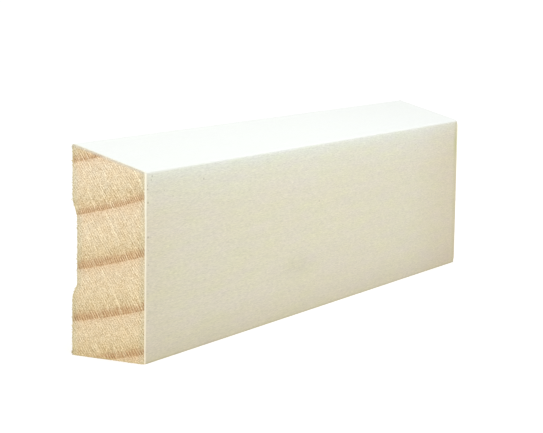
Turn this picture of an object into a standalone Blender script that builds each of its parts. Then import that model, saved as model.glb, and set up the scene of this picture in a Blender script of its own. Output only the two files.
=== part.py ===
# A short length of bevelled pine skirting board, primed on its show faces and sawn square at both ends.
# Metres, +Z up. X runs along the board, the face that shows looks to -Y, and the back goes against the wall at +Y.
# The origin is at the middle of the underside.

import math

import bpy
from mathutils import Vector

MM = 0.001

# The board as it is sold
LENGTH = 150.0 * MM
BACK_HEIGHT = 42.0 * MM
THICKNESS = 17.0 * MM
BEVEL_ANGLE = math.radians(15.0)  # the top falls this much from the wall to the face

# The arrises, eased by the moulder
TOP_ARRIS_RADIUS = 0.8 * MM
FOOT_ARRIS_RADIUS = 0.5 * MM
BACK_ARRIS_RADIUS = 0.3 * MM

# The shallow channel that lets the back sit flat on an uneven wall
CHANNEL_DEPTH = 1.15 * MM
CHANNEL_FLOOR_WIDTH = 13.5 * MM
CHANNEL_FLOOR_BOTTOM = 14.3 * MM  # above the underside
UPPER_SHOULDER = 3.3 * MM  # height of the slope from the floor up to the upper land
LOWER_SHOULDER = 2.3 * MM
UPPER_LAND_RADIUS = 4.5 * MM
LOWER_LAND_RADIUS = 0.8 * MM
FLOOR_CORNER_RADIUS = 0.9 * MM

ARC_STEP = math.radians(6.0)  # turn between two points of an arc
WIDEST_FILLET = 0.48  # share of an edge that one fillet may take

PRIMED_PINE = (0.80, 0.76, 0.66, 1.0)


def clear_scene():
    for obj in list(bpy.data.objects):
        bpy.data.objects.remove(obj, do_unlink=True)


def profile_corners():
    """The section's corners before easing, as (y, z, radius), anticlockwise seen from +X: foot, face, bevel, back."""
    back = THICKNESS / 2
    face = -THICKNESS / 2
    floor = back - CHANNEL_DEPTH
    face_height = BACK_HEIGHT - THICKNESS * math.tan(BEVEL_ANGLE)
    floor_top = CHANNEL_FLOOR_BOTTOM + CHANNEL_FLOOR_WIDTH
    return [
        (face, 0.0, FOOT_ARRIS_RADIUS),
        (back, 0.0, BACK_ARRIS_RADIUS),
        (back, CHANNEL_FLOOR_BOTTOM - LOWER_SHOULDER, LOWER_LAND_RADIUS),
        (floor, CHANNEL_FLOOR_BOTTOM, FLOOR_CORNER_RADIUS),
        (floor, floor_top, FLOOR_CORNER_RADIUS),
        (back, floor_top + UPPER_SHOULDER, UPPER_LAND_RADIUS),
        (back, BACK_HEIGHT, BACK_ARRIS_RADIUS),
        (face, face_height, TOP_ARRIS_RADIUS),
    ]


def eased_corner(before, corner, after, radius):
    """The points of the arc that rounds one corner, tangent to both of its edges."""
    along_in = (corner - before).normalized()
    along_out = (after - corner).normalized()
    turn = along_in.angle_signed(along_out)
    half_tan = math.tan(abs(turn) / 2)
    shorter_edge = min((corner - before).length, (after - corner).length)
    setback = min(radius * half_tan, shorter_edge * WIDEST_FILLET)
    start = corner - along_in * setback
    side = Vector((along_in.y, -along_in.x)) * math.copysign(1.0, turn)
    centre = start + side * (setback / half_tan)
    steps = max(2, math.ceil(abs(turn) / ARC_STEP))
    spoke = start - centre
    points = []
    for step in range(steps + 1):
        angle = -turn * step / steps
        turned = Vector((
            spoke.x * math.cos(angle) - spoke.y * math.sin(angle),
            spoke.x * math.sin(angle) + spoke.y * math.cos(angle),
        ))
        points.append(centre + turned)
    return points


def profile_outline():
    """The whole eased section as points in (y, z)."""
    corners = profile_corners()
    count = len(corners)
    places = [Vector(corner[:2]) for corner in corners]
    outline = []
    for index, corner in enumerate(corners):
        outline += eased_corner(places[index - 1], places[index], places[(index + 1) % count], corner[2])
    return outline


def primed_pine_material():
    material = bpy.data.materials.new("primed_pine")
    material.use_nodes = True
    shader = material.node_tree.nodes["Principled BSDF"]
    shader.inputs["Base Color"].default_value = PRIMED_PINE
    shader.inputs["Roughness"].default_value = 0.6
    shader.inputs["Metallic"].default_value = 0.0
    return material


def make_board(collection):
    """The section as a flat outline, drawn out to the board's length and turned to run along X."""
    outline = profile_outline()
    curve = bpy.data.curves.new("skirting_board", "CURVE")
    curve.dimensions = "2D"
    curve.fill_mode = "BOTH"
    curve.extrude = LENGTH / 2
    spline = curve.splines.new("POLY")
    spline.points.add(len(outline) - 1)
    for point, place in zip(spline.points, outline):
        point.co = (place.x, place.y, 0.0, 1.0)
    spline.use_cyclic_u = True
    curve.materials.append(primed_pine_material())
    board = bpy.data.objects.new("skirting_board", curve)
    board.rotation_euler = (math.pi / 2, 0.0, math.pi / 2)
    collection.objects.link(board)
    return board


def main():
    clear_scene()
    collection = bpy.data.collections.new("skirting_board_parts")
    bpy.context.scene.collection.children.link(collection)
    make_board(collection)


main()
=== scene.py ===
import math

import bpy
from mathutils import Matrix, Vector


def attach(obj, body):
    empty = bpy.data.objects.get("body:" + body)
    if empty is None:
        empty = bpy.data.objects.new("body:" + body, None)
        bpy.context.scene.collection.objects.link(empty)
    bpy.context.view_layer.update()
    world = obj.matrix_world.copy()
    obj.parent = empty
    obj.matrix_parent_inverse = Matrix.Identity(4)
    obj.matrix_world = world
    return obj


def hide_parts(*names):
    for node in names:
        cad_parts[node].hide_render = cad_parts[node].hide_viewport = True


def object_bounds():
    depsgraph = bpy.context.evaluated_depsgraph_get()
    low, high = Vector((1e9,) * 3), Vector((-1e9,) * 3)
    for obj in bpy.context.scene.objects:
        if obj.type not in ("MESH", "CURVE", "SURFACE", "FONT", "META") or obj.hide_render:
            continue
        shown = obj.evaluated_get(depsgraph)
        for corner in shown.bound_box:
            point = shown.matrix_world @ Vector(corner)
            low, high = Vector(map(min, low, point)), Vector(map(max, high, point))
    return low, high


# A short length of bevelled pine skirting: primed on the face and the top, bare on the back, the underside
# and the two sawn ends. Sizes in the dictionaries are in millimetres, and colours are sRGB from 0 to 255.
# A noise pattern there is the size of a patch along each axis, its finer detail, and a shift that sets it
# apart from the others. A band, climb or fade is where something starts and where it is complete.

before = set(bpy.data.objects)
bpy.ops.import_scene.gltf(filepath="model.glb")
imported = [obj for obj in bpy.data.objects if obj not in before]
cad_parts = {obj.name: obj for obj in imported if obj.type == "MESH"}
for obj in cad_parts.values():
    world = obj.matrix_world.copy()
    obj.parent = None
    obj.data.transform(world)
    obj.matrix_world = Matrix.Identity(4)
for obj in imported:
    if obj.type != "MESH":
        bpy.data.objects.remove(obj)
cadLow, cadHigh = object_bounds()
print("frame loaded:", ", ".join(sorted(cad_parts)))

mm = 0.001
perMetre = 1000.0  # from the frame's metres to the millimetres that the node trees count in
halfway = 0.5  # between the ends of a share that runs from 0 to 1
tiny = 0.0001  # keeps a division from meeting zero

board = {
    "node": "skirting_board",
    "body": "root",
    "slot": "primed_pine",
    "name": "primedBoard",
    "length": (cadHigh.x - cadLow.x) / mm,
    "thickness": (cadHigh.y - cadLow.y) / mm,
    "backHeight": 42.0,
    "bevelAngle": 15.0,  # degrees, the fall of the top from the wall to the face
    "topArris": 0.55,  # radii of the four long arrises
    "footArris": 0.15,
    "backArris": 0.3,
    "backFootArris": 0.6,
    "channelDepth": 1.15,
    "channelBottom": 14.3,
    "channelWidth": 13.5,
    "lowerShoulder": 2.3,
    "upperShoulder": 3.3,
    "shoulderEase": 0.38,  # how softly the channel's slopes meet its floor and the lands
    "faceSawEdge": 0.34,  # radius of the cut's edge along the primed face
    "bareSawEdge": 0.12,
    "faceSawBand": 1.2,  # the wide edge narrows to the bare one over this
    "sawEdgeUneven": 0.14,
    "unevenPattern": ((0.9, 0.9, 0.9), 2.0, 7.0),
    "sharpest": 0.05,  # the least radius that the unevenness leaves
    # the far corners of the face are knocked round; these are their places before the top is bevelled
    "bruised": ((75.0, -8.5, 0.0), (75.0, -8.5, 42.0)),
    "bruiseReach": 1.7,
    "bruiseRadius": 1.0,
    "rowsAlong": 128,  # of faces in the grid
    "rowsAcross": 68,
    "rowsUp": 162,
    "edgeRows": 5,
    "edgeBand": 0.8,  # the edge rows share this strip beside every arris
}

relief = {
    "latewoodProud": 0.045,
    "latewoodPhase": (0.62, 0.95),  # shares of a ring's width between which it rises
    "planedLatewood": 0.02,
    "sawFuzz": 0.07,
    "rayGroove": 0.03,
    "sawRidge": 0.02,
    "sawArcLean": 0.55,  # how far the saw's ridges lean, as a slope
    "paintGrain": 0.014,
    "planedGrain": 0.05,
    "patterns": {
        "fuzz": ((0.7, 0.7, 0.7), 2.0, 1.0),
        "rays": ((0.8, 9.0, 5.0), 1.0, 2.0),
        "ridges": ((0.9, 30.0, 1.0), 1.0, 4.0),
        "grain": ((38.0, 0.9, 0.9), 2.0, 5.0),
    },
}

timber = {
    "pithAcross": 37.0,  # the middle of the tree, seen on the end: out beyond the back and above the top
    "pithUp": 167.3,
    "ringRadii": (122.0, 132.25, 142.45, 152.95, 163.05, 171.35, 181.0),
    "wander": 2.2,  # how far a ring strays along the board
    "wanderBand": (3.0, 45.0),  # from the near end, between none of it and all
    "wanderPattern": ((48.0, 24.0, 24.0), 1.0, 3.0),
    "taper": 0.008,  # how much wider the trunk gets for each step along the board
    "typicalRadius": 150.0,  # turns an angle about the pith into a length along a ring
    "lastPlace": 0.99999,  # a share of a ring that still counts as inside it
}

whiskers = {
    "share": 0.42,  # of the points along a bare sawn edge
    "edgeLimit": 0.3,  # a point on that edge is at least this much sawn and this much planed
    "length": 0.46,
    "rootRadius": 0.11,
    "tipRadius": 0.02,
    "sunk": 0.3,  # the share of its length that a root starts below the surface
    "towardsEnd": 0.35,  # they stand out sideways more than along the board
    "sway": ((-0.7, -0.7, 0.0), (0.7, 0.7, 0.5)),  # least and most, against an outward length of 1
    "girth": ((0.5, 0.5, 0.35), (1.3, 1.3, 1.4)),  # smallest and largest, as shares of the sizes above
    "sides": 4,
    "seed": 23,
}

photoView = {
    "place": (-366.7, -197.2, 77.0),
    "heading": 61.08,  # degrees from +Y towards +X
    "dip": 7.829,
    "roll": 0.90,
    "lens": 121.4,
    "sensor": 36.0,
    "nearest": 10.0,  # what the camera still draws
}


# One field of a node tree, so that a rule can be written as a sum
class Field:
    def __init__(self, tree, socket):
        self.tree = tree
        self.socket = socket

    def __add__(self, other):
        return calc(self.tree, "ADD", self, other)

    def __sub__(self, other):
        return calc(self.tree, "SUBTRACT", self, other)

    def __rsub__(self, other):
        return calc(self.tree, "SUBTRACT", other, self)

    def __mul__(self, other):
        return calc(self.tree, "MULTIPLY", self, other)

    def __truediv__(self, other):
        return calc(self.tree, "DIVIDE", self, other)

    def __neg__(self):
        return self * -1.0

    def least(self, other):
        return calc(self.tree, "MINIMUM", self, other)

    def most(self, other):
        return calc(self.tree, "MAXIMUM", self, other)

    def size(self):
        return calc(self.tree, "ABSOLUTE", self)

    def sign(self):
        return calc(self.tree, "SIGN", self)

    def root(self):
        return calc(self.tree, "SQRT", self)

    def sine(self):
        return calc(self.tree, "SINE", self)

    def fraction(self):
        return calc(self.tree, "FRACT", self)

    def above(self, limit):
        return calc(self.tree, "GREATER_THAN", self, limit)

    # 0 at low, 1 at high, straight or eased between them
    def between(self, low, high, eased=False):
        kind = "SMOOTHSTEP" if eased else "LINEAR"
        inputs = {"Value": self, "From Min": low, "From Max": high, "To Min": 0.0, "To Max": 1.0}
        node = addNode(self.tree, "ShaderNodeMapRange", inputs, interpolation_type=kind)
        return Field(self.tree, node.outputs["Result"])


def feed(tree, socket, value):
    if isinstance(value, Field):
        tree.links.new(value.socket, socket)
    else:
        socket.default_value = value


def addNode(tree, kind, inputs=None, **settings):
    node = tree.nodes.new(kind)
    for name, value in settings.items():
        setattr(node, name, value)
    for name, value in (inputs or {}).items():
        feed(tree, node.inputs[name], value)
    return node


def calc(tree, operation, *values):
    node = addNode(tree, "ShaderNodeMath", operation=operation)
    for socket, value in zip(node.inputs, values):
        feed(tree, socket, value)
    return Field(tree, node.outputs[0])


def vectorCalc(tree, operation, *values):
    node = addNode(tree, "ShaderNodeVectorMath", operation=operation)
    for socket, value in zip(node.inputs, values):
        feed(tree, socket, value)
    return Field(tree, node.outputs[0])


def distance(place, point):
    node = addNode(place.tree, "ShaderNodeVectorMath", operation="DISTANCE")
    feed(place.tree, node.inputs[0], place)
    node.inputs[1].default_value = point
    return Field(place.tree, node.outputs["Value"])


def split(vector):
    node = addNode(vector.tree, "ShaderNodeSeparateXYZ", {"Vector": vector})
    return [Field(vector.tree, output) for output in node.outputs]


def combine(tree, x, y, z):
    node = addNode(tree, "ShaderNodeCombineXYZ", {"X": x, "Y": y, "Z": z})
    return Field(tree, node.outputs["Vector"])


def hypotenuse(first, second):
    return (first * first + second * second).root()


shiftSteps = (1.0, 1.7, 2.3)  # unlike, so that no two shifted patterns match along an axis


# Noise about zero, from -0.5 to 0.5
def noise(place, pitch, detail, shift, roughness=0.5):
    tree = place.tree
    spread = tuple(1.0 / size for size in pitch)
    scaled = vectorCalc(tree, "MULTIPLY", place, spread)
    moved = vectorCalc(tree, "ADD", scaled, tuple(shift * step for step in shiftSteps))
    inputs = {"Vector": moved, "Scale": 1.0, "Detail": detail, "Roughness": roughness}
    node = addNode(tree, "ShaderNodeTexNoise", inputs)
    return Field(tree, node.outputs[0]) - 0.5


# The growth rings, the same through the whole length: how far out from the pith a point is, how far it has
# come through its ring from 0 to 1, its place along the ring, and how many years come before that ring
def ringFields(place):
    along, across, up = split(place)
    out = across - timber["pithAcross"]
    down = up - timber["pithUp"]
    start = -board["length"] / 2
    wanderStarts, wanderFull = timber["wanderBand"]
    strays = along.between(start + wanderStarts, start + wanderFull, eased=True)
    stray = noise(place, *timber["wanderPattern"]) * timber["wander"] * strays
    radius = hypotenuse(out, down) + stray + (along - start) * timber["taper"]
    rings = None
    for inner, outer in zip(timber["ringRadii"], timber["ringRadii"][1:]):
        share = radius.between(inner, outer)
        rings = share if rings is None else rings + share
    phase = (rings * timber["lastPlace"]).fraction()
    arc = calc(place.tree, "ARCTAN2", out, -down) * timber["typicalRadius"]
    return radius, phase, arc, rings - phase


# Geometry of the board

# A share runs from -0.5 to 0.5 in even steps, and the place crowds the outer rows into the band by the edge
def gradedPlace(share, rows, edgeRows, edgeBand, half):
    rowsFromEdge = (0.5 - share.size()) * rows
    nearEdge = rowsFromEdge * (edgeBand / edgeRows)
    innerStep = (half - edgeBand) / (rows / 2 - edgeRows)
    inside = (rowsFromEdge - edgeRows) * innerStep + edgeBand
    return share.sign() * (half - nearEdge.most(inside))


# The channel's two slopes and flat floor, blended where they meet
def channelDepthAt(sizes, up):
    lowerStart = sizes["Channel bottom"] - sizes["Lower shoulder"]
    upperEnd = sizes["Channel bottom"] + sizes["Channel width"] + sizes["Upper shoulder"]
    lower = (up - lowerStart) * sizes["Channel depth"] / sizes["Lower shoulder"]
    upper = (upperEnd - up) * sizes["Channel depth"] / sizes["Upper shoulder"]
    tree = up.tree
    slopes = calc(tree, "SMOOTH_MIN", lower, upper, sizes["Shoulder ease"])
    floored = calc(tree, "SMOOTH_MIN", slopes, sizes["Channel depth"], sizes["Shoulder ease"])
    return calc(tree, "SMOOTH_MAX", floored, 0.0, sizes["Shoulder ease"])


# How far back from its corner an arc of this radius starts, where the outline turns by so many degrees
def sectionSetback(radius, turn):
    return radius * math.tan(math.radians(turn) / 2)


# How much of the way back to its arc a point comes, if it is this far past both ends of the straight parts
def cornerPull(radius, first, second):
    return 1.0 - (radius / hypotenuse(first, second).most(tiny)).least(1.0)


# Where a point of the unit box goes on the finished board
def boardPlace(sizes, raw):
    tree = raw.tree
    rawAlong, rawAcross, rawUp = split(raw)
    half = sizes["Thickness"] / 2
    band, rowsAtEdge = board["edgeBand"], board["edgeRows"]
    along = gradedPlace(rawAlong, board["rowsAlong"], rowsAtEdge, band, sizes["Length"] / 2)
    across = gradedPlace(rawAcross, board["rowsAcross"], rowsAtEdge, band, half)
    up = gradedPlace(rawUp, board["rowsUp"], rowsAtEdge, band, sizes["Back height"] / 2)
    up = up + sizes["Back height"] / 2

    # Ease the four long arrises, in the plain box that the section is sheared from
    front = across + half
    back = half - across
    top = sizes["Back height"] - up
    inFront = back.above(front)
    inTop = 1.0 - top.above(up)
    atFront = inTop * sizes["Top arris"] + (1.0 - inTop) * sizes["Foot arris"]
    atBack = inTop * sizes["Back top arris"] + (1.0 - inTop) * sizes["Back foot arris"]
    radius = inFront * atFront + (1.0 - inFront) * atBack
    sideways = (radius - front.least(back)).most(0.0)
    upright = (radius - up.least(top)).most(0.0)
    pull = cornerPull(radius, sideways, upright)
    towardsMiddle = inFront * 2.0 - 1.0
    upwards = 1.0 - inTop * 2.0
    easedAcross = across + towardsMiddle * sideways * pull
    easedUp = up + upwards * upright * pull

    # Break the saw's edges all round both ends, unevenly
    end = sizes["Length"] / 2 - along.size()
    faceSide = 1.0 - front.between(0.0, board["faceSawBand"])
    inBox = combine(tree, along, across, up)
    uneven = noise(inBox, *board["unevenPattern"])
    edge = sizes["Bare saw edge"] + (sizes["Face saw edge"] - sizes["Bare saw edge"]) * faceSide
    edge = (edge + uneven * sizes["Saw edge uneven"]).most(board["sharpest"])
    for corner in board["bruised"]:
        away = distance(inBox, corner)
        edge = edge + (1.0 - away.between(0.0, board["bruiseReach"], eased=True)) * board["bruiseRadius"]
    outline = front.least(back).least(up.least(top))
    endPull = (edge - end).most(0.0)
    outlinePull = (edge - outline).most(0.0)
    edgeShare = cornerPull(edge, endPull, outlinePull)
    fromSides = (edge - front.least(back)).most(0.0)
    fromEnds = (edge - up.least(top)).most(0.0)
    inset = outlinePull * edgeShare / hypotenuse(fromSides, fromEnds).most(tiny)
    along = along - along.sign() * endPull * edgeShare
    easedAcross = easedAcross + towardsMiddle * fromSides * inset
    easedUp = easedUp + upwards * fromEnds * inset

    # Shear the top to its bevel and press the channel into the back
    fall = (half - easedAcross) * sizes["Bevel slope"]
    finalUp = easedUp * (sizes["Back height"] - fall) / sizes["Back height"]
    backShare = (easedAcross + half) / sizes["Thickness"]
    finalAcross = easedAcross - channelDepthAt(sizes, finalUp) * backShare
    return combine(tree, along, finalAcross, finalUp)


# How far the grain and the saw's marks stand proud of the section
def surfaceRelief(place, sawn, planed, primed):
    radius, phase, arc, _ = ringFields(place)
    along, across, up = split(place)
    tree = place.tree
    patterns = relief["patterns"]
    latewood = phase.between(*relief["latewoodPhase"], eased=True)
    onRing = combine(tree, arc, radius, along)
    fuzz = noise(place, *patterns["fuzz"]) * relief["sawFuzz"]
    rays = noise(onRing, *patterns["rays"]) * relief["rayGroove"]
    sawArc = combine(tree, up + across * relief["sawArcLean"], along, 0.0)
    ridges = noise(sawArc, *patterns["ridges"]) * relief["sawRidge"]
    sawnHeight = latewood * relief["latewoodProud"] + fuzz + rays + ridges - relief["latewoodProud"] / 2
    grain = noise(place, *patterns["grain"])
    planedHeight = grain * relief["planedGrain"] + latewood * relief["planedLatewood"]
    primedHeight = grain * relief["paintGrain"]
    # both shares are a half where the paint meets bare wood, and that arris stays smooth
    seam = (primed * planed / (halfway * halfway)).least(1.0)
    return (sawn * sawnHeight + planed * planedHeight + primed * primedHeight) * (1.0 - seam)


def newGeometryTree(name, sizes):
    tree = bpy.data.node_groups.new(name, "GeometryNodeTree")
    tree.interface.new_socket(name="Geometry", in_out="OUTPUT", socket_type="NodeSocketGeometry")
    identifiers = {}
    for label in sizes:
        socket = tree.interface.new_socket(name=label, in_out="INPUT", socket_type="NodeSocketFloat")
        identifiers[label] = socket.identifier
    groupInput = addNode(tree, "NodeGroupInput")
    fields = {label: Field(tree, groupInput.outputs[label]) for label in sizes}
    return tree, identifiers, fields


# A node's geometry comes out first, whatever the node calls it
def geometry(node):
    return Field(node.id_data, node.outputs[0])


# Torn fibres that the saw leaves standing along the bare edges of its cuts
def addWhiskers(tree, boardGeometry, sawn, planed, outward):
    chance = addNode(tree, "FunctionNodeRandomValue", {"Seed": whiskers["seed"]}, data_type="FLOAT")
    picked = Field(tree, chance.outputs[1])  # the plain number, after the vector
    onEdge = sawn.above(whiskers["edgeLimit"]) * planed.above(whiskers["edgeLimit"])
    chosen = onEdge * (1.0 - picked.above(whiskers["share"]))
    cone = addNode(tree, "GeometryNodeMeshCone", {
        "Vertices": whiskers["sides"],
        "Radius Top": whiskers["tipRadius"] * mm,
        "Radius Bottom": whiskers["rootRadius"] * mm,
        "Depth": whiskers["length"] * mm,
    })
    rootedCone = addNode(tree, "GeometryNodeTransform", {
        "Geometry": geometry(cone),
        "Translation": (0.0, 0.0, -whiskers["sunk"] * whiskers["length"] * mm),
    })
    sway = randomVector(tree, whiskers["sway"], whiskers["seed"] + 1)
    sideways = vectorCalc(tree, "MULTIPLY", outward, (whiskers["towardsEnd"], 1.0, 1.0))
    swayed = vectorCalc(tree, "ADD", sideways, sway)
    aim = addNode(tree, "FunctionNodeAlignRotationToVector", {"Vector": swayed}, axis="Z")
    placed = addNode(tree, "GeometryNodeInstanceOnPoints", {
        "Points": boardGeometry,
        "Selection": chosen,
        "Instance": geometry(rootedCone),
        "Rotation": Field(tree, aim.outputs["Rotation"]),
        "Scale": randomVector(tree, whiskers["girth"], whiskers["seed"] + 2),
    })
    return geometry(placed)


def randomVector(tree, limits, seed):
    inputs = {"Min": limits[0], "Max": limits[1], "Seed": seed}
    node = addNode(tree, "FunctionNodeRandomValue", inputs, data_type="FLOAT_VECTOR")
    return Field(tree, node.outputs[0])


# The board's sizes by the names they have as inputs of its tree
def boardSizes():
    bevel = board["bevelAngle"]
    return {
        "Length": board["length"],
        "Thickness": board["thickness"],
        "Back height": board["backHeight"],
        "Bevel slope": math.tan(math.radians(bevel)),
        "Top arris": sectionSetback(board["topArris"], 90.0 - bevel),
        "Foot arris": board["footArris"],
        "Back foot arris": board["backFootArris"],
        "Back top arris": sectionSetback(board["backArris"], 90.0 + bevel),
        "Channel depth": board["channelDepth"],
        "Channel bottom": board["channelBottom"],
        "Channel width": board["channelWidth"],
        "Lower shoulder": board["lowerShoulder"],
        "Upper shoulder": board["upperShoulder"],
        "Shoulder ease": board["shoulderEase"],
        "Face saw edge": board["faceSawEdge"],
        "Bare saw edge": board["bareSawEdge"],
        "Saw edge uneven": board["sawEdgeUneven"],
    }


# The tree, and the sizes by the identifiers of its inputs
def buildBoardTree(finishes):
    sizes = boardSizes()
    tree, identifiers, fields = newGeometryTree("boardShape", sizes)
    box = addNode(tree, "GeometryNodeMeshCube", {
        "Size": (1.0, 1.0, 1.0),
        "Vertices X": board["rowsAlong"] + 1,
        "Vertices Y": board["rowsAcross"] + 1,
        "Vertices Z": board["rowsUp"] + 1,
    })

    # Remember which side of the box each face is on, before it is bent to the section
    facing = Field(tree, addNode(tree, "GeometryNodeInputNormal").outputs["Normal"])
    facingAlong, facingAcross, facingUp = split(facing)
    sides = {
        "sawn": facingAlong.size().above(halfway),
        "planed": facingAcross.above(halfway).most((-facingUp).above(halfway)),
        "primed": (-facingAcross).above(halfway).most(facingUp.above(halfway)),
    }
    remembered = addNode(tree, "GeometryNodeCaptureAttribute", domain="FACE")
    feed(tree, remembered.inputs["Geometry"], geometry(box))
    for name, value in sides.items():
        remembered.capture_items.new("FLOAT", name)
        feed(tree, remembered.inputs[name], value)
    sawn, planed, primed = [Field(tree, remembered.outputs[name]) for name in sides]

    raw = Field(tree, addNode(tree, "GeometryNodeInputPosition").outputs["Position"])
    shaped = vectorCalc(tree, "MULTIPLY", boardPlace(fields, raw), (mm, mm, mm))
    section = addNode(tree, "GeometryNodeSetPosition", {
        "Geometry": Field(tree, remembered.outputs["Geometry"]),
        "Position": shaped,
    })
    place = vectorCalc(tree, "MULTIPLY", raw, (perMetre, perMetre, perMetre))
    height = surfaceRelief(place, sawn, planed, primed) * mm
    heights = combine(tree, height, height, height)
    outward = Field(tree, addNode(tree, "GeometryNodeInputNormal").outputs["Normal"])
    textured = addNode(tree, "GeometryNodeSetPosition", {
        "Geometry": geometry(section),
        "Offset": vectorCalc(tree, "MULTIPLY", outward, heights),
    })
    fibres = addWhiskers(tree, geometry(textured), sawn, planed, outward)
    smooth = addNode(tree, "GeometryNodeSetShadeSmooth", {"Geometry": geometry(textured)})
    joined = addNode(tree, "GeometryNodeJoinGeometry")
    tree.links.new(fibres.socket, joined.inputs["Geometry"])
    tree.links.new(smooth.outputs["Geometry"], joined.inputs["Geometry"])
    last = addNode(tree, "GeometryNodeRealizeInstances", {"Geometry": geometry(joined)})
    # sawn pine all over, fibres too, and then the others on their own sides
    for name, where in (("sawn", True), ("planed", planed.above(halfway)), ("primed", primed.above(halfway))):
        inputs = {"Geometry": geometry(last), "Selection": where, "Material": finishes[name]}
        last = addNode(tree, "GeometryNodeSetMaterial", inputs)
    groupOutput = addNode(tree, "NodeGroupOutput")
    tree.links.new(last.outputs["Geometry"], groupOutput.inputs["Geometry"])
    return tree, {identifiers[label]: value for label, value in sizes.items()}


def addObject(name, data):
    thing = bpy.data.objects.new(name, data)
    bpy.context.scene.collection.objects.link(thing)
    return thing


# The modifier's result as a plain mesh at the origin
def makeByNodes(name, tree, inputs):
    carrier = addObject(name + "Carrier", bpy.data.meshes.new(name + "Carrier"))
    modifier = carrier.modifiers.new("shape", "NODES")
    modifier.node_group = tree
    for identifier, value in inputs.items():
        modifier[identifier] = value
    bpy.context.view_layer.update()
    evaluated = carrier.evaluated_get(bpy.context.evaluated_depsgraph_get())
    mesh = bpy.data.meshes.new_from_object(evaluated)
    mesh.name = name
    mesh.materials.pop(index=0)  # the empty slot that the box starts with
    carrier.modifiers.remove(modifier)
    bpy.data.objects.remove(carrier, do_unlink=True)
    return addObject(name, mesh)


# Finishes

paint = {
    # the coat's colour by how far it is below the bevelled top, darker towards the foot: partly painted shade
    # of the light falling off down the face, and the last stops a painted contact shade along the foot arris
    "fadeAndShade": (
        (0.0, (228, 231, 228)),
        (0.45, (218, 220, 209)),
        (0.9, (214, 216, 203)),
        (3.0, (212, 210, 192)),
        (9.0, (210, 205, 184)),
        (20.0, (208, 203, 180)),
        (29.0, (206, 200, 178)),
        (34.5, (201, 194, 171)),
        (35.6, (200, 193, 167)),
        (35.8, (198, 191, 163)),
        (36.0, (188, 180, 145)),
        (36.2, (178, 168, 124)),
    ),
    "fadeDepth": 40.0,  # past the last of them
    "faceBand": (0.05, 0.5),  # how far below the bevelled top the face's coat starts
    "clouds": 0.03,  # broad warm and cool areas
    "blotches": 0.18,  # smaller ones, between yellow-green and lilac
    "grain": 0.09,
    "fineGrain": 0.68,
    "slip": 6.0,  # how far a row of the fine grain is slipped along past the one below, so no columns show
    "fineStreaks": 0.18,
    "topCalm": 0.15,  # the share of all these that the smoother top shows
    "patterns": {
        "clouds": ((16.0, 3.0, 3.0), 2.0, 11.0),
        "blotches": ((8.0, 2.0, 2.0), 2.0, 24.0),
        "grain": ((18.0, 0.7, 0.7), 3.0, 5.0),
        "slip": ((14.0, 0.45, 0.45), 1.0, 26.0),
        "fineGrain": ((1.1, 0.18, 0.18), 2.0, 6.0, 0.75),  # and its roughness
        "fineStreaks": ((3.6, 0.21, 0.21), 1.0, 29.0),
        "rub": ((4.5, 0.6, 0.6), 2.0, 25.0),
        "edge": ((0.8, 0.8, 1.6), 2.0, 27.0),
    },
    # how a change of tone is shared among red, green and blue
    "tints": {
        "clouds": (1.0, 0.1, -1.6),
        "blotches": (-0.05, 0.33, -1.1),
        "ends": (0.8, -0.5, -1.4),
    },
    "edgeHigh": (234, 230, 210),  # brighter where it wraps the saw's edge: partly a thicker coat, partly a painted highlight of that edge
    "edgeLow": (231, 221, 196),
    "edgeWidth": 0.58,
    "edgeUneven": 0.35,
    "edgeFade": (0.5, 1.1),  # shares of its width
    "edgeClimb": (8.0, 34.0),  # the heights between which its low colour gives way to its high one
    "edgeOnTop": (222, 222, 208),
    # a pale rim along the far cut: partly a thicker coat, partly a painted highlight of that edge
    "farEdgeHigh": (240, 238, 203),
    "farEdgeLow": (229, 225, 178),
    "farEdgeWidth": (0.45, 0.9),  # at the foot and at the top of the face
    # painted shade: the olive line inside the far end, where the saw's edge there is in shade, which starts,
    # is full and has faded this far in
    "farStain": {
        "colour": (187, 185, 139),
        "reach": (0.5, 1.0, 3.4),
        "least": 0.32,
        "most": 0.98,
        "darkestUp": 31.5,  # the height where it is strongest
        "darkReach": 5.0,
    },
    # how much darker the coat is towards each end, and how far in that reaches: the short reaches darken it
    # close to each cut, the long ones are painted shade of the light falling off towards the ends
    "nearShade": ((0.045, 1.6), (0.022, 22.0)),
    "farShade": ((0.06, 2.8), (0.06, 32.0)),
    "endYellow": 0.6,  # how much yellower it gets there, as a share of how much darker
    "pinholeColour": (134, 123, 94),
    "pinholeCore": 0.4,  # the share of a pinhole's radius that is fully dark
    "strayHoles": {"pitch": 5.5, "radius": 0.16, "share": 0.10, "shift": 1.3},
    "strayHoleStrength": 0.8,
    # the pinholes that show: along, up, radius and strength
    "pinholes": (
        (-72.7, 36.5, 0.24, 0.6),
        (-73.0, 35.8, 0.24, 0.5),
        (-74.3, 34.8, 0.2, 0.6),
        (-74.3, 34.1, 0.2, 0.6),
        (-74.1, 31.5, 0.26, 0.8),
        (-74.0, 24.8, 0.26, 0.8),
        (-73.8, 22.2, 0.22, 0.35),
        (-73.8, 19.4, 0.24, 0.45),
        (-73.7, 15.6, 0.22, 0.35),
        (-73.9, 13.8, 0.22, 0.4),
        (-73.8, 8.5, 0.24, 0.45),
        (-68.3, 33.3, 0.22, 0.4),
        (-65.1, 31.9, 0.24, 0.4),
        (-53.5, 34.2, 0.26, 0.6),
        (-3.0, 24.4, 0.3, 0.4),
        (37.5, 34.0, 0.3, 0.2),
        (42.6, 33.9, 0.3, 0.2),
    ),
    "smudge": {
        "along": -12.0,
        "up": 10.9,
        "reach": (13.0, 3.6),
        "strength": 0.060,
        "contrast": 4.0,  # between its rub marks, about their level
        "level": 0.9,
    },
    "roughness": {"least": 0.55, "grain": 0.1, "fineGrain": 0.2},
    "specular": 0.35,
    "bump": {"depth": 0.02, "grain": 0.7, "fineGrain": 0.5, "pinholes": 0.4},
}

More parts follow.
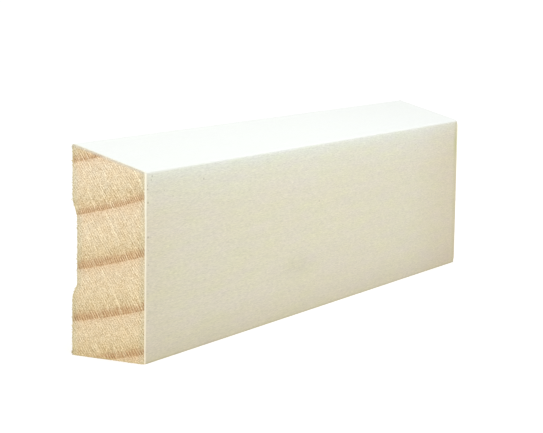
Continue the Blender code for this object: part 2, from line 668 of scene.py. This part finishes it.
pine = {
    # the wood's colour through one year, from the inside of its ring at 0 to the outside at 1
    "ring": (
        (0.00, (216, 187, 150)),
        (0.03, (220, 195, 160)),
        (0.08, (221, 199, 165)),
        (0.20, (221, 202, 169)),
        (0.50, (219, 200, 165)),
        (0.66, (215, 196, 159)),
        (0.78, (209, 188, 149)),
        (0.88, (209, 186, 147)),
        (1.00, (211, 186, 147)),
    ),
    "ringRagged": 0.006,  # as a share of the ring
    # the last wood of each year ends in a comb of dark teeth
    "tooth": (173, 128, 88),
    "toothPitch": 0.447,  # in the first year shown, and how much wider in each after it
    "toothWider": 0.029,
    "toothSlant": 0.25,  # how far a tooth strays along its ring for each step outwards
    "toothStagger": 2.2,  # how unevenly the teeth are set, in radians of their wave
    "toothContrast": 0.44,  # between the teeth, about their level
    "toothLevel": 0.5,
    "toothRagged": 0.10,  # how unevenly long the teeth are, as a share of the ring
    "toothStrength": 0.95,
    "combPhase": (0.80, 0.92),  # shares of the ring's width between which the comb darkens
    "combNarrower": 0.045,  # in the innermost rings
    "combSmoother": 0.12,
    "ray": (250, 234, 198),
    "rayLean": 26.0,  # degrees from upright
    "rayBand": (0.10, 0.26),  # of its noise
    "rayStrength": 0.45,
    # the palest streaks: from across and up, to across and up, half width and strength
    "streaks": (
        (-5.8, 37.8, -6.9, 36.0, 0.17, 0.9),
        (-6.9, 36.2, -7.8, 34.6, 0.17, 0.9),
        (-7.6, 34.7, -8.4, 33.4, 0.15, 0.7),
        (-4.3, 35.5, -5.9, 33.3, 0.15, 0.6),
        (-2.5, 36.2, -3.6, 34.4, 0.14, 0.5),
        (4.8, 38.7, 3.9, 36.9, 0.15, 0.5),
        (0.9, 29.6, -2.6, 23.2, 0.24, 0.5),
        (2.3, 26.3, 0.4, 23.0, 0.16, 0.4),
        (-4.5, 27.5, -7.4, 22.9, 0.16, 0.4),
        (4.8, 16.4, 2.9, 13.7, 0.16, 0.4),
    ),
    # shares of a streak's length between which it comes in and goes out, and of its width that is palest
    "streakIn": (0.0, 0.2),
    "streakOut": (0.7, 1.0),
    "streakCore": 0.3,
    "strokeLean": 37.0,  # degrees from upright, of the lines, the speckle and the hatch
    "lines": 0.6,
    "speckle": 1.55,
    "sawMark": 0.2,
    "sawLean": 0.62,  # how far the saw's marks lean, as a slope
    "hatch": 0.24,  # the rows of cells
    "hatchPitch": 0.50,
    "hatchStray": 6.0,  # how far the rows stray from straight, in radians of their wave
    "hatchContrast": 1.4,  # between strong and weak rows, about their level
    "hatchLevel": 0.4,
    "patches": 0.085,  # pinker and yellower areas
    "outerPaintedShade": 0.12,  # how much darker the outermost ring is than the innermost: painted shade, as the outer rings lie towards the foot
    "outerYellower": 0.12,
    # the bare back and foot edges of the cut darker: partly handling soil, partly painted shade along those
    # edges
    "soilAndShade": (203, 185, 136),
    "soilAndShadeBand": (0.05, 0.5),  # how far in from the edge
    "soilAndShadeRagged": 0.5,
    "soilAndShadeStrength": 0.70,
    "sideShade": 0.10,  # how much darker the cut is beside the face and the back
    "sideBand": (0.5, 1.7),
    # the paint shows in section along the top and along the face
    "film": (200, 197, 184),
    "filmDepth": 0.38,  # below the top arris
    "filmFade": (0.4, 1.8),  # shares of its depth
    "filmRagged": 0.25,
    "filmStrength": 0.7,
    "faceFilmDepth": 0.13,
    "faceFilmDeeper": 0.14,  # how much more that is at the top of the face
    "faceFilmClimb": (26.0, 37.0),  # the heights between which it deepens
    "faceFilmFade": (0.7, 1.3),
    "faceFilmRagged": 0.12,
    "resin": (150, 116, 76),
    "resinSpecks": {"pitch": 3.2, "radius": 0.13, "share": 0.22, "shift": 2.7},
    "resinStrength": 0.65,
    "patterns": {
        "stagger": ((2.4, 4.0, 3.0), 1.0, 17.0),
        "toothLength": ((0.6, 40.0, 3.0), 1.0, 18.0),
        "rays": ((0.32, 7.0, 3.0), 1.0, 9.0),
        "lines": ((0.20, 1.3, 2.0), 1.0, 8.0),
        "cells": ((0.12, 0.17, 0.12), 0.0, 12.0),
        "saw": ((0.25, 1.4, 2.0), 1.0, 13.0),
        "rowStray": ((2.6, 1.6, 3.0), 1.0, 21.0),
        "rowStrength": ((2.6, 2.6, 2.6), 1.0, 22.0),
        "patches": ((2.2, 2.2, 2.2), 2.0, 23.0),
        "film": ((0.5, 0.5, 0.5), 2.0, 14.0),
    },
    # how a change of tone is shared among red, green and blue
    "tints": {
        "marks": (0.76, 0.94, 1.18),
        "outer": (0.0, -0.15, -1.0),
        "patches": (1.0, 0.1, -1.6),
        "sides": (1.0, 0.55, 0.4),
    },
    "roughness": {"least": 0.8, "cells": 0.2},
    "specular": 0.2,
    "bump": {"depth": 0.10, "lines": 0.8, "saw": 0.3},
}

evenTint = (1.0, 1.0, 1.0)
darkestColour = (0.02, 0.02, 0.02)
palestColour = (0.97, 0.97, 0.97)
speckCore = 0.5  # the share of a speck's radius that is fully dark


# An sRGB colour as the linear shares that shaders work in, by the sRGB standard's own curve
def linear(colour):
    def channel(value):
        share = value / 255.0
        return share / 12.92 if share <= 0.04045 else ((share + 0.055) / 1.055) ** 2.4
    return (channel(colour[0]), channel(colour[1]), channel(colour[2]), 1.0)


def newMaterial(name):
    material = bpy.data.materials.new(name)
    material.use_nodes = True
    tree = material.node_tree
    shader = tree.nodes["Principled BSDF"]
    coordinates = addNode(tree, "ShaderNodeTexCoord")
    here = Field(tree, coordinates.outputs["Object"])
    place = vectorCalc(tree, "MULTIPLY", here, (perMetre, perMetre, perMetre))
    return material, shader, place


# A colour that changes with the value by stops, up to the longest value that they reach
def ramp(value, stops, longest=1.0):
    node = addNode(value.tree, "ShaderNodeValToRGB", {"Fac": value / longest})
    elements = node.color_ramp.elements
    while len(elements) < len(stops):
        elements.new(1.0)
    for element, (position, colour) in zip(elements, stops):
        element.position = position / longest
        element.color = linear(colour)
    return Field(value.tree, node.outputs["Color"])


mixSockets = {"share": 0, "first": 6, "second": 7, "result": 2}  # those of a Mix node that are for colours


def mixColour(share, first, second):
    tree = share.tree
    node = addNode(tree, "ShaderNodeMix", data_type="RGBA", blend_type="MIX", clamp_factor=True)
    feed(tree, node.inputs[mixSockets["share"]], share)
    for name, colour in (("first", first), ("second", second)):
        feed(tree, node.inputs[mixSockets[name]], colour if isinstance(colour, Field) else linear(colour))
    return Field(tree, node.outputs[mixSockets["result"]])


# Each of the colour's channels gains the amount times its own share
def tint(colour, amount, shares):
    tree = colour.tree
    factors = combine(tree, *[amount * share + 1.0 for share in shares])
    tinted = vectorCalc(tree, "MULTIPLY", colour, factors)
    paled = vectorCalc(tree, "MINIMUM", tinted, palestColour)
    return vectorCalc(tree, "MAXIMUM", paled, darkestColour)


# Put a finish's colour, roughness and height on its shader
def dressShader(shader, colour, roughness, height, settings):
    tree = colour.tree
    feed(tree, shader.inputs["Base Color"], colour)
    feed(tree, shader.inputs["Roughness"], roughness + settings["roughness"]["least"])
    shader.inputs["Specular IOR Level"].default_value = settings["specular"]
    inputs = {"Height": height, "Distance": settings["bump"]["depth"] * mm, "Strength": 1.0}
    bump = addNode(tree, "ShaderNodeBump", inputs)
    tree.links.new(bump.outputs["Normal"], shader.inputs["Normal"])


# Round specks, one to a cell, in this share of the cells
def specks(place, pitch, radius, share, shift):
    tree = place.tree
    moved = vectorCalc(tree, "ADD", place, (shift, shift, shift))
    inputs = {"Vector": moved, "Scale": 1.0 / pitch, "Randomness": 1.0}
    cells = addNode(tree, "ShaderNodeTexVoronoi", inputs)
    away = Field(tree, cells.outputs["Distance"])
    near = 1.0 - away.between(speckCore * radius / pitch, radius / pitch)
    colour = split(Field(tree, cells.outputs["Color"]))[0]
    return near * (1.0 - colour.above(share))


# How far a point is below the bevelled top, square to it
def gapBelowTop(across, up):
    bevel = math.radians(board["bevelAngle"])
    half = board["thickness"] / 2
    return (board["backHeight"] - (half - across) * math.tan(bevel) - up) * math.cos(bevel)


# The coat's colour, its grain and its fine grain
def primerColour(place):
    along, across, up = split(place)
    patterns, tints = paint["patterns"], paint["tints"]
    # painted shade: the coat darkens down the face and at the foot arris
    colour = ramp(gapBelowTop(across, up).most(0.0), paint["fadeAndShade"], paint["fadeDepth"])
    clouds = noise(place, *patterns["clouds"])
    blotches = noise(place, *patterns["blotches"])
    grain = noise(place, *patterns["grain"])
    slip = noise(place, *patterns["slip"]) * paint["slip"]
    slipped = combine(place.tree, along + slip, across, up)
    fine = noise(slipped, *patterns["fineGrain"])
    streaks = noise(place, *patterns["fineStreaks"])
    onFace = gapBelowTop(across, up).between(*paint["faceBand"])
    liveliness = onFace * (1.0 - paint["topCalm"]) + paint["topCalm"]
    colour = tint(colour, clouds * liveliness * paint["clouds"], tints["clouds"])
    colour = tint(colour, blotches * liveliness * paint["blotches"], tints["blotches"])
    nearEnd = along + board["length"] / 2
    farEnd = board["length"] / 2 - along
    # painted shade towards the ends of the face, and a darker coat close to each cut
    endShade = None
    for fromEnd, steps in ((nearEnd, paint["nearShade"]), (farEnd, paint["farShade"])):
        for amount, reach in steps:
            step = (1.0 - fromEnd.between(0.0, reach, eased=True)) * amount
            endShade = step if endShade is None else endShade + step
    smudge = paint["smudge"]
    rubMarks = (noise(place, *patterns["rub"]) * smudge["contrast"] + smudge["level"]).most(0.0)
    rub = smudgeShare(along, up, smudge) * rubMarks
    texture = grain * paint["grain"] + fine * paint["fineGrain"] + streaks * paint["fineStreaks"]
    shade = texture * liveliness - (endShade + rub) * onFace
    colour = tint(colour, shade, evenTint)
    colour = tint(colour, endShade * onFace * paint["endYellow"], tints["ends"])
    # painted shade of the far saw edge: an olive line inside the far end
    colour = mixColour(farStainShare(farEnd, up) * onFace, colour, paint["farStain"]["colour"])
    # the near rim on the face: partly a thicker coat, partly a painted highlight along the saw's edge
    unevenEdge = noise(place, *patterns["edge"]) * paint["edgeUneven"]
    nearRim = 1.0 - ((nearEnd + unevenEdge) / paint["edgeWidth"]).between(*paint["edgeFade"])
    height = up.between(*paint["edgeClimb"])
    narrow, wide = paint["farEdgeWidth"]
    farWidth = height * height * (wide - narrow) + narrow
    # the far rim, partly a painted highlight along the far saw edge
    farRim = 1.0 - (farEnd / farWidth).between(*paint["edgeFade"])
    onSide = mixColour(height, paint["edgeLow"], paint["edgeHigh"])
    colour = mixColour(nearRim, colour, mixColour(onFace, paint["edgeOnTop"], onSide))
    farColour = mixColour(height, paint["farEdgeLow"], paint["farEdgeHigh"])
    return mixColour(farRim * onFace, colour, farColour), grain, fine


# How strong the painted shade inside the far end is at a point
def farStainShare(farEnd, up):
    shadeLine = paint["farStain"]
    starts, full, fades = shadeLine["reach"]
    band = farEnd.between(starts, full) * (1.0 - farEnd.between(full, fades, eased=True))
    darkest = 1.0 - (up - shadeLine["darkestUp"]).size().between(0.0, shadeLine["darkReach"], eased=True)
    return band * (darkest * (shadeLine["most"] - shadeLine["least"]) + shadeLine["least"])


def smudgeShare(along, up, smudge):
    reachAlong, reachUp = smudge["reach"]
    offAlong = (along - smudge["along"]) / reachAlong
    offUp = (up - smudge["up"]) / reachUp
    away = hypotenuse(offAlong, offUp)
    return (1.0 - away.between(0.0, 1.0, eased=True)) * smudge["strength"]


# How dark the pinholes make a point of the face
def pinholeShare(place):
    onFace = vectorCalc(place.tree, "MULTIPLY", place, (1.0, 0.0, 1.0))  # across doesn't count
    share = specks(place, **paint["strayHoles"]) * paint["strayHoleStrength"]
    for along, up, radius, strength in paint["pinholes"]:
        away = distance(onFace, (along, 0.0, up))
        share = share.most((1.0 - away.between(radius * paint["pinholeCore"], radius)) * strength)
    return share


def makePrimer():
    material, shader, place = newMaterial("primerCoat")
    colour, grain, fine = primerColour(place)
    pinholes = pinholeShare(place)
    colour = mixColour(pinholes, colour, paint["pinholeColour"])
    rough, bump = paint["roughness"], paint["bump"]
    roughness = fine * rough["fineGrain"] + grain * rough["grain"]
    height = grain * bump["grain"] + fine * bump["fineGrain"] - pinholes * bump["pinholes"]
    dressShader(shader, colour, roughness, height, paint)
    return material


# The place on the cut, counted beside and along lines that lean by this many degrees
def leaning(place, degrees):
    along, across, up = split(place)
    lean = math.radians(degrees)
    beside = across * math.cos(lean) - up * math.sin(lean)
    outwards = across * math.sin(lean) + up * math.cos(lean)
    return combine(place.tree, beside, outwards, along)


# How much of one pale streak a point of the cut is in
def streakShare(across, up, fromAcross, fromUp, toAcross, toUp, halfWidth, strength):
    length = math.hypot(toAcross - fromAcross, toUp - fromUp)
    runAcross = (toAcross - fromAcross) / length
    runUp = (toUp - fromUp) / length
    come = (across - fromAcross) * runAcross + (up - fromUp) * runUp
    aside = ((across - fromAcross) * runUp - (up - fromUp) * runAcross).size()
    share = come / length
    ends = share.between(*pine["streakIn"]) * (1.0 - share.between(*pine["streakOut"]))
    return (1.0 - aside.between(halfWidth * pine["streakCore"], halfWidth)) * ends * strength


# The rings with the comb that ends each year: its colour, and how much of a point is in the comb
def combedRings(onRing, radius, phase, arc, year):
    stagger = noise(onRing, *pine["patterns"]["stagger"]) * pine["toothStagger"]
    toothPitch = year * pine["toothWider"] + pine["toothPitch"]
    slanted = arc + radius * pine["toothSlant"]
    tooth = (slanted * 2.0 * math.pi / toothPitch + stagger).sine()
    toothLength = noise(onRing, *pine["patterns"]["toothLength"])
    colour = ramp(phase + tooth * pine["ringRagged"], pine["ring"])
    widening = radius.between(timber["ringRadii"][2], timber["ringRadii"][3], eased=True)
    narrower = (1.0 - widening) * pine["combNarrower"]
    late = phase + toothLength * pine["toothRagged"] - narrower
    lateness = late.between(*pine["combPhase"], eased=True)
    darkness = lateness * (tooth * pine["toothContrast"] + pine["toothLevel"])
    return mixColour(darkness * pine["toothStrength"], colour, pine["tooth"]), lateness


# Rows of cells that come and go
def hatching(place, onStroke):
    stray = noise(onStroke, *pine["patterns"]["rowStray"]) * pine["hatchStray"]
    uneven = noise(place, *pine["patterns"]["rowStrength"])
    strength = (uneven * pine["hatchContrast"] + pine["hatchLevel"]).most(0.0)
    rows = (split(onStroke)[0] * (2.0 * math.pi / pine["hatchPitch"]) + stray).sine()
    return rows * strength * pine["hatch"]


# What lies along the edges of a cut: soil and painted shade on the bare ones, and the paint in section on the
# others
def edgedCut(colour, place, cells):
    _, across, up = split(place)
    half = board["thickness"] / 2
    fromBack = half - channelDepthAt(boardSizes(), up) - across
    fromFace = across + half
    # soil and painted shade along the bare back and foot edges
    awayFromEdge = (fromBack.least(up) + cells * pine["soilAndShadeRagged"]).between(*pine["soilAndShadeBand"])
    colour = mixColour((1.0 - awayFromEdge) * pine["soilAndShadeStrength"], colour, pine["soilAndShade"])
    inside = fromBack.least(fromFace).between(*pine["sideBand"], eased=True)
    colour = tint(colour, inside * pine["sideShade"] - pine["sideShade"], pine["tints"]["sides"])
    uneven = noise(place, *pine["patterns"]["film"])
    fromTop = (gapBelowTop(across, up) + uneven * pine["filmRagged"]) / pine["filmDepth"]
    film = (1.0 - fromTop.between(*pine["filmFade"])) * pine["filmStrength"]
    colour = mixColour(film, colour, pine["film"])
    faceDepth = up.between(*pine["faceFilmClimb"]) * pine["faceFilmDeeper"] + pine["faceFilmDepth"]
    onFace = (fromFace + uneven * pine["faceFilmRagged"]) / faceDepth
    return mixColour(1.0 - onFace.between(*pine["faceFilmFade"]), colour, primerColour(place)[0])


def makeSawnPine():
    material, shader, place = newMaterial("sawnPine")
    radius, phase, arc, year = ringFields(place)
    along, across, up = split(place)
    patterns, tints = pine["patterns"], pine["tints"]
    onRing = combine(place.tree, arc, radius, along)
    onRay = leaning(place, pine["rayLean"])
    onStroke = leaning(place, pine["strokeLean"])
    colour, lateness = combedRings(onRing, radius, phase, arc, year)

    # Pale rays, lines of fibres and the speckle of cut ones
    rays = noise(onRay, *patterns["rays"]).between(*pine["rayBand"]) * pine["rayStrength"]
    for streak in pine["streaks"]:
        rays = rays.most(streakShare(across, up, *streak))
    colour = mixColour(rays, colour, pine["ray"])
    lines = noise(onStroke, *patterns["lines"])
    cells = noise(onStroke, *patterns["cells"])
    lean = pine["sawLean"]
    saw = noise(combine(place.tree, up + across * lean, up * lean - across, along), *patterns["saw"])
    marks = cells * pine["speckle"] + lines * pine["lines"] + saw * pine["sawMark"]
    marks = marks + hatching(place, onStroke)
    age = radius.between(timber["ringRadii"][0], timber["ringRadii"][-1])
    # painted shade: the outer rings, towards the foot of the cut, darker
    shade = marks * (1.0 - lateness * pine["combSmoother"]) - age * pine["outerPaintedShade"]
    colour = tint(colour, shade, tints["marks"])
    colour = tint(colour, (age - halfway) * pine["outerYellower"], tints["outer"])
    colour = tint(colour, noise(place, *patterns["patches"]) * pine["patches"], tints["patches"])

    colour = edgedCut(colour, place, cells)
    resin = specks(place, **pine["resinSpecks"]) * pine["resinStrength"]
    colour = mixColour(resin, colour, pine["resin"])
    height = cells + lines * pine["bump"]["lines"] + saw * pine["bump"]["saw"]
    dressShader(shader, colour, cells * pine["roughness"]["cells"], height, pine)
    return material


planed = {
    "fibre": 0.30,
    "pores": 0.34,
    "growthLines": 0.12,  # faint bands that follow the rings
    "latewood": 0.50,
    "latewoodPhase": (0.80, 0.95),  # shares of the ring's width between which it darkens
    "latewoodRagged": 0.12,
    "ringRagged": 0.05,
    "duct": (168, 130, 84),
    "ductStretch": (0.07, 1.0, 1.0),  # a duct runs along the board
    "ductSpecks": {"pitch": 2.4, "radius": 0.10, "share": 0.25, "shift": 4.1},
    "ductStrength": 0.45,
    "patterns": {
        "fibre": ((22.0, 0.35, 0.35), 3.0, 15.0),
        "pores": ((5.0, 0.16, 0.16), 1.0, 16.0),
        "growthLines": ((60.0, 0.6, 30.0), 2.0, 28.0),
    },
    "knifePitch": 2.1,  # between two cuts of the planer's knives
    "roughness": {"least": 0.62, "pores": 0.2},
    "specular": 0.3,
    "bump": {"depth": 0.05, "fibre": 0.8, "pores": 0.6, "ripple": 0.12},
}


def makePlanedPine():
    material, shader, place = newMaterial("planedPine")
    radius, phase, arc, _ = ringFields(place)
    along = split(place)[0]
    patterns, bump = planed["patterns"], planed["bump"]
    fibre = noise(place, *patterns["fibre"])
    pores = noise(place, *patterns["pores"])
    growth = noise(combine(place.tree, along, radius, arc), *patterns["growthLines"])
    colour = ramp(phase + fibre * planed["ringRagged"], pine["ring"])
    late = phase + fibre * planed["latewoodRagged"]
    darkness = late.between(*planed["latewoodPhase"], eased=True) * planed["latewood"]
    colour = mixColour(darkness, colour, pine["tooth"])
    shade = fibre * planed["fibre"] + pores * planed["pores"] + growth * planed["growthLines"]
    colour = tint(colour, shade, evenTint)
    shortened = vectorCalc(place.tree, "MULTIPLY", place, planed["ductStretch"])
    ducts = specks(shortened, **planed["ductSpecks"]) * planed["ductStrength"]
    colour = mixColour(ducts, colour, planed["duct"])
    ripple = (along * (2.0 * math.pi / planed["knifePitch"]) + fibre).sine()
    height = fibre * bump["fibre"] + pores * bump["pores"] + ripple * bump["ripple"]
    dressShader(shader, colour, pores * planed["roughness"]["pores"], height, planed)
    return material


finishes = {"primed": makePrimer(), "sawn": makeSawnPine(), "planed": makePlanedPine()}
print("finishes made:", ", ".join(sorted(finishes)))

boardTree, boardInputs = buildBoardTree(finishes)
primedBoard = makeByNodes(board["name"], boardTree, boardInputs)
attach(primedBoard, board["body"])
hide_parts(board["node"])
print("board made:", len(primedBoard.data.polygons), "faces")


# Floor, lights and camera

# colours here are linear shares, and power is in watts
studio = {
    "floorSize": 60000.0,
    "floorColour": (0.50, 0.50, 0.50, 1.0),
    "floorGlow": 0.52,  # a lit white table, so that the board leaves next to no shadow
    "glowColour": (1.0, 1.0, 1.0, 1.0),
    "floorRoughness": 0.9,
    "floorSpecular": 0.1,
    "skyStrength": 0.40,
    "skyColour": (1.0, 1.0, 1.0, 1.0),
    "backgroundStrength": 1.0,  # what the camera sees past the floor
    "overhead": {
        "from": (-0.10, -0.10, 1.0),
        "strength": 2.3,
        "width": 60.0,  # degrees of sky, for soft shadows
        "colour": (1.0, 1.0, 1.0),
    },
    "leftKey": {
        "place": (-470.0, -20.0, 150.0),
        "power": 0.61,
        "across": 260.0,
        "colour": (1.0, 0.99, 0.97),
    },
    "faceFill": {
        "place": (10.0, -150.0, 95.0),
        "power": 0.064,
        "across": 100.0,
        "colour": (1.0, 1.0, 1.0),
    },
}


def makeFloor():
    reach = studio["floorSize"] * mm / 2
    corners = [(-reach, -reach, 0.0), (reach, -reach, 0.0), (reach, reach, 0.0), (-reach, reach, 0.0)]
    mesh = bpy.data.meshes.new("floor")
    mesh.from_pydata(corners, [], [(0, 1, 2, 3)])
    material = bpy.data.materials.new("paleFloor")
    material.use_nodes = True
    shader = material.node_tree.nodes["Principled BSDF"]
    shader.inputs["Base Color"].default_value = studio["floorColour"]
    shader.inputs["Emission Color"].default_value = studio["glowColour"]
    shader.inputs["Emission Strength"].default_value = studio["floorGlow"]
    shader.inputs["Roughness"].default_value = studio["floorRoughness"]
    shader.inputs["Specular IOR Level"].default_value = studio["floorSpecular"]
    mesh.materials.append(material)
    addObject("floor", mesh)


def makeLights():
    world = bpy.data.worlds.new("studioSky")
    world.use_nodes = True
    tree = world.node_tree
    sky = tree.nodes["Background"]
    sky.inputs["Color"].default_value = studio["skyColour"]
    seen = Field(tree, addNode(tree, "ShaderNodeLightPath").outputs["Is Camera Ray"])
    extra = studio["backgroundStrength"] - studio["skyStrength"]
    feed(tree, sky.inputs["Strength"], seen * extra + studio["skyStrength"])
    bpy.context.scene.world = world
    above = studio["overhead"]
    sun = bpy.data.lights.new("overhead", "SUN")
    sun.energy = above["strength"]
    sun.angle = math.radians(above["width"])
    sun.color = above["colour"]
    hang("overhead", sun, Vector(above["from"]), Vector((0.0, 0.0, 0.0)))
    hangSoftbox("leftKey", (-board["length"] / 2, 0.0, board["backHeight"] / 2))
    hangSoftbox("faceFill", (0.0, -board["thickness"] / 2, board["backHeight"] / 2))


def hangSoftbox(name, target):
    entry = studio[name]
    softbox = bpy.data.lights.new(name, "AREA")
    softbox.shape = "DISK"
    softbox.size = entry["across"] * mm
    softbox.energy = entry["power"]
    softbox.color = entry["colour"]
    lamp = hang(name, softbox, Vector(entry["place"]) * mm, Vector(target) * mm)
    lamp.visible_camera = False


def hang(name, light, place, target):
    lamp = addObject(name, light)
    lamp.location = place
    lamp.rotation_euler = (target - place).to_track_quat("-Z", "Y").to_euler()
    return lamp


def makeCamera():
    heading = math.radians(photoView["heading"])
    dip = math.radians(photoView["dip"])
    roll = math.radians(photoView["roll"])
    ahead = Vector((math.cos(dip) * math.sin(heading), math.cos(dip) * math.cos(heading), -math.sin(dip)))
    level = Vector((math.cos(heading), -math.sin(heading), 0.0))
    above = level.cross(ahead)
    right = level * math.cos(roll) + above * math.sin(roll)
    up = above * math.cos(roll) - level * math.sin(roll)
    data = bpy.data.cameras.new("photoCamera")
    data.sensor_fit = "HORIZONTAL"
    data.sensor_width = photoView["sensor"]
    data.lens = photoView["lens"]
    data.clip_start = photoView["nearest"] * mm
    camera = addObject("photoCamera", data)
    turned = Matrix((right, up, -ahead)).transposed().to_4x4()
    camera.matrix_world = Matrix.Translation(Vector(photoView["place"]) * mm) @ turned
    bpy.context.scene.camera = camera


makeFloor()
makeLights()
makeCamera()
bpy.context.scene.view_settings.view_transform = "Standard"
print("floor, lights and camera placed")
